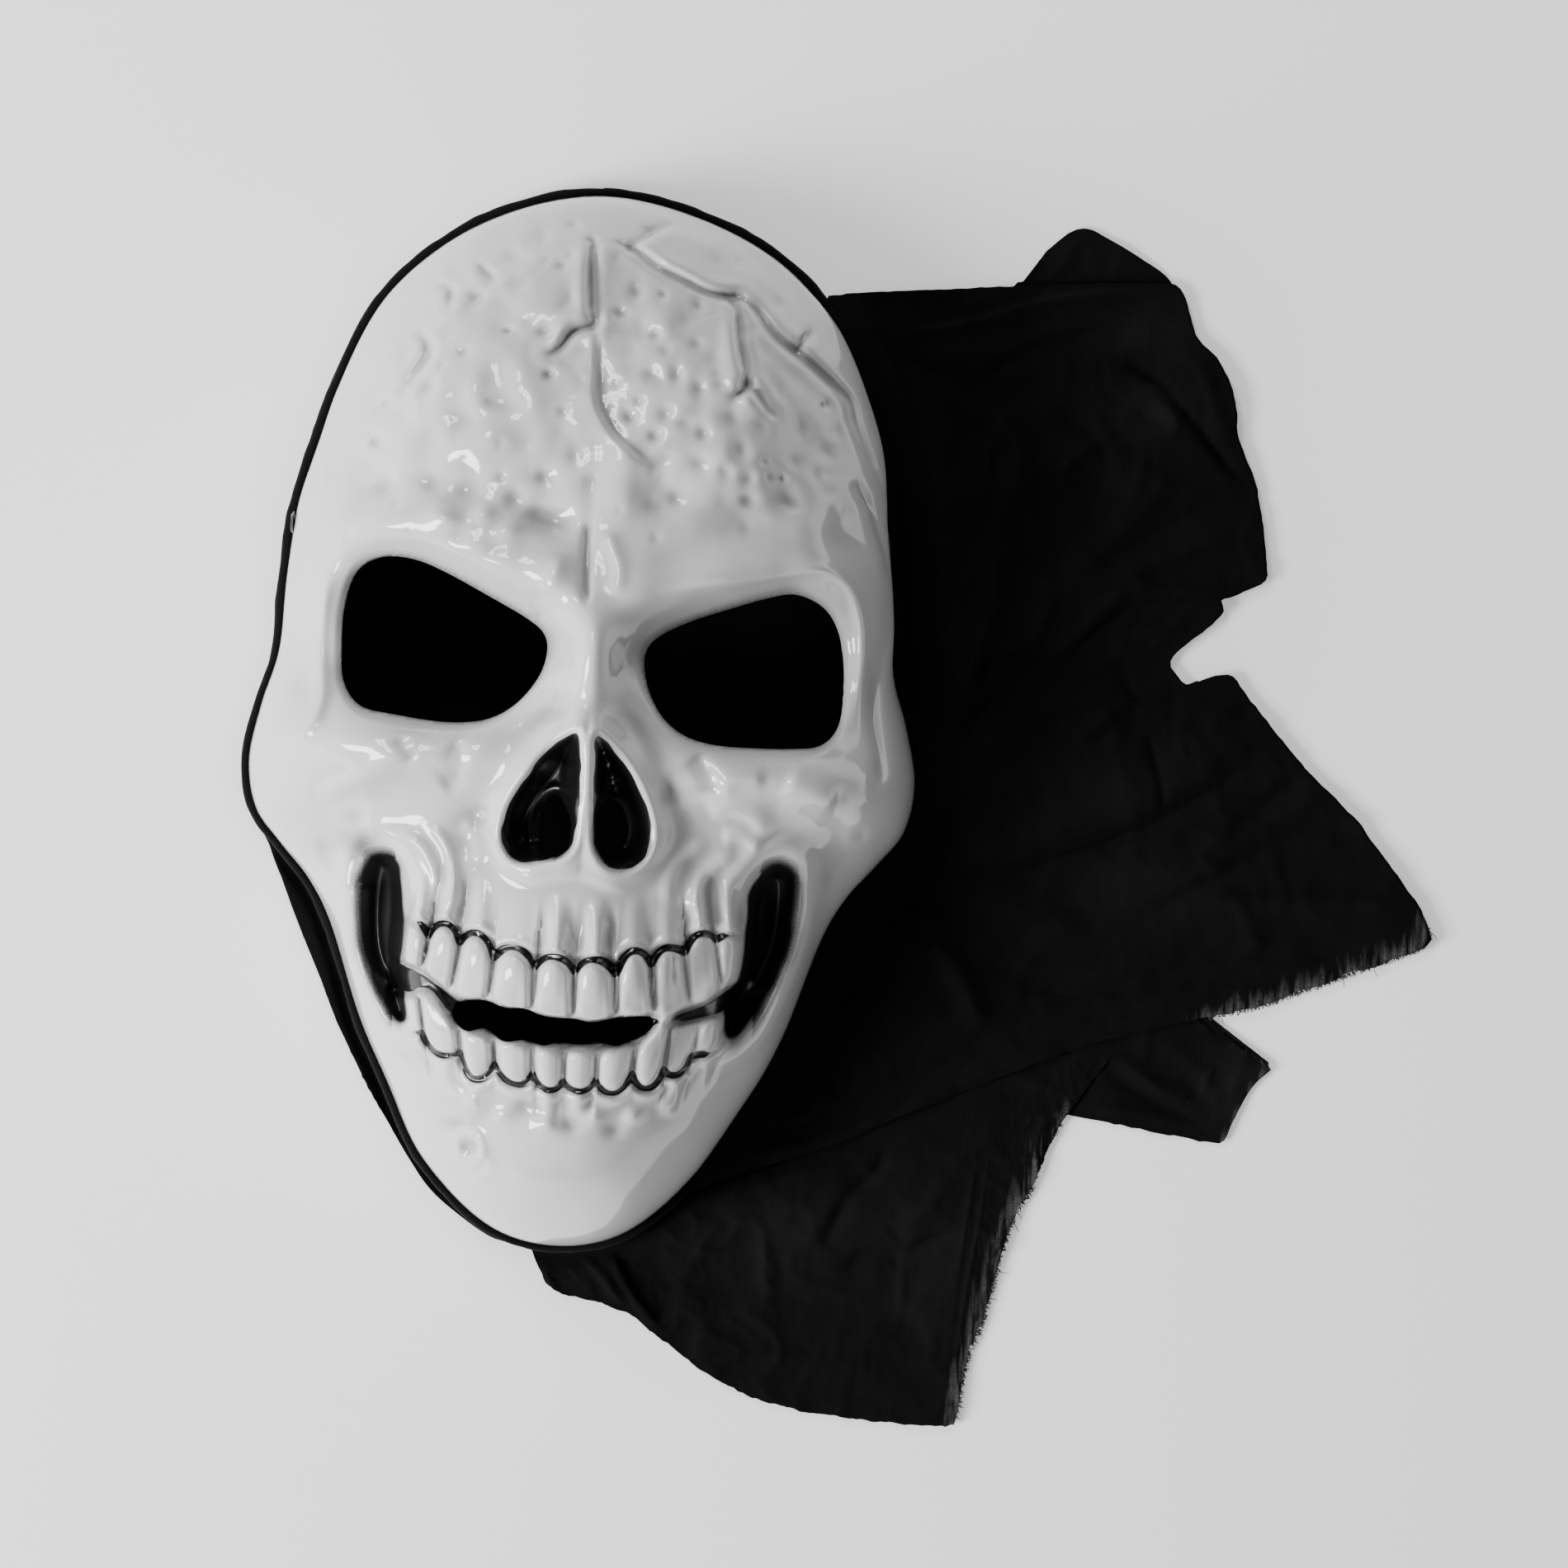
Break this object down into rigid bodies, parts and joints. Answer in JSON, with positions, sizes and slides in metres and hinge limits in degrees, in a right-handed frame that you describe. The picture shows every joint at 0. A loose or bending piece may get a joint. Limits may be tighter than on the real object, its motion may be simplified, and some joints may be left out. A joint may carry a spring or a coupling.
{
  "type": "hooded skull mask",
  "caption": "Rigid glossy white skull face mask with a thin black cloth hood joined round its rim, laid face up with the hood spread to one side.",
  "frame": {"origin": "on the resting surface under the middle of the face, at the meeting of the eyes' lower line and the face's middle plane", "axes": "+X to the right of the face as seen from the front, +Y to the crown, +Z out of the face, away from the resting surface"},
  "size_m": [0.3434, 0.3583, 0.0919],
  "materials": {
    "bone_white_plastic": "glossy vacuum-formed white plastic, gloss black paint in the recesses",
    "hood_cloth": "thin black woven cloth, matt",
    "hem_cloth": "black cloth turned over the rim",
    "elastic": "woven black elastic",
    "rivet_metal": "blackened steel",
    "hot_glue": "translucent hot glue"
  },
  "bodies": {
    "mask": {"face_shell": "bone_white_plastic", "rim_hem": "hem_cloth", "glue_bead": "hot_glue", "hood_back_panel": "hood_cloth", "hood_collar": "hood_cloth", "hood_chin_panel": "hood_cloth", "rivet_left": "rivet_metal", "rivet_right": "rivet_metal", "washer_left": "rivet_metal", "washer_right": "rivet_metal"},
    "strap": {"elastic_strap": "elastic"},
    "hood": {"hood_front_panel": "hood_cloth", "hood_rear_panel": "hood_cloth", "hood_tail_panel": "hood_cloth"}
  },
  "joints": [
    {"name": "strap_swing", "type": "hinge", "parent": "mask", "child": "strap", "pos_m": [0, 0.052, 0.013], "axis": [1, 0, 0], "range_deg": [0, 95]},
    {"name": "hood_fold", "type": "hinge", "parent": "mask", "child": "hood", "pos_m": [0.1042, 0, 0.0026], "axis": [-0.1305, -0.9914, 0], "range_deg": [0, 90]}
  ]
}
